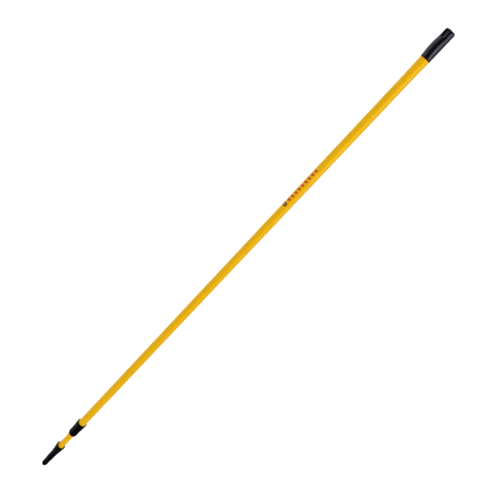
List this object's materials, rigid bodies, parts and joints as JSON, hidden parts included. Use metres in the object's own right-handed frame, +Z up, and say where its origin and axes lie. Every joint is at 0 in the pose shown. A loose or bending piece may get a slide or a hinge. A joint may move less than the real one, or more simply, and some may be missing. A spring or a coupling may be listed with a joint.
{
  "type": "roller extension pole",
  "caption": "Telescoping pole of a thick and a thin tube, with a twist-lock collar, a threaded tip on a conical ferrule and an end grip with a hang slot.",
  "frame": {"origin": "middle of the pole's bounding box, on the surface that the pole lies on", "axes": "+X along the pole towards the threaded tip, +Z up, the palm swell and the hang slot's mouth to -Y"},
  "size_m": [1.842, 0.0332, 0.0325],
  "materials": {
    "yellow_tube": "smooth gloss, resin-rich glass fibre",
    "black_plastic": "satin moulding",
    "grip_plastic": "satin moulding",
    "white_plastic": "natural nylon",
    "black_rubber": "matt",
    "zinc_steel": "zinc plated",
    "black_steel": "black oxide"
  },
  "bodies": {
    "outer_section": {"outer_tube": "yellow_tube", "hand_grip": "grip_plastic", "grip_ring": "black_rubber", "grip_rivet": "zinc_steel", "end_bumper": "black_rubber", "lock_base": "black_plastic", "lock_base_pins": "zinc_steel", "collet": "white_plastic", "front_bush": "white_plastic", "stop_sleeve": "white_plastic"},
    "lock_thrust": {"thrust_washer": "white_plastic"},
    "lock_collar": {"lock_nut": "black_plastic", "nose_wiper": "black_rubber", "nut_retaining_ring": "zinc_steel"},
    "slide_guide": {"guide_ring": "white_plastic"},
    "inner_section": {"inner_tube": "yellow_tube", "threaded_tip": "black_plastic", "tip_rivets": "black_steel", "inner_plug": "black_plastic", "guide_retainer": "black_plastic", "retainer_screw": "zinc_steel"}
  },
  "joints": [
    {"name": "inner_slide", "type": "slide", "parent": "outer_section", "child": "slide_guide", "axis": [1, 0, 0], "range_m": [-0.0685, 1.24]},
    {"name": "inner_turn", "type": "hinge", "parent": "slide_guide", "child": "inner_section", "pos_m": [0, 0, 0.01624], "axis": [1, 0, 0], "continuous": true},
    {"name": "nut_advance", "type": "slide", "parent": "outer_section", "child": "lock_thrust", "axis": [1, 0, 0], "range_m": [0, 0.001]},
    {"name": "nut_twist", "type": "hinge", "parent": "lock_thrust", "child": "lock_collar", "pos_m": [0, 0, 0.01624], "axis": [1, 0, 0], "range_deg": [0, 108]}
  ],
  "couplings": [
    {"joint": "nut_advance", "follows": "nut_twist", "m_per_rad": 0.00047746}
  ]
}
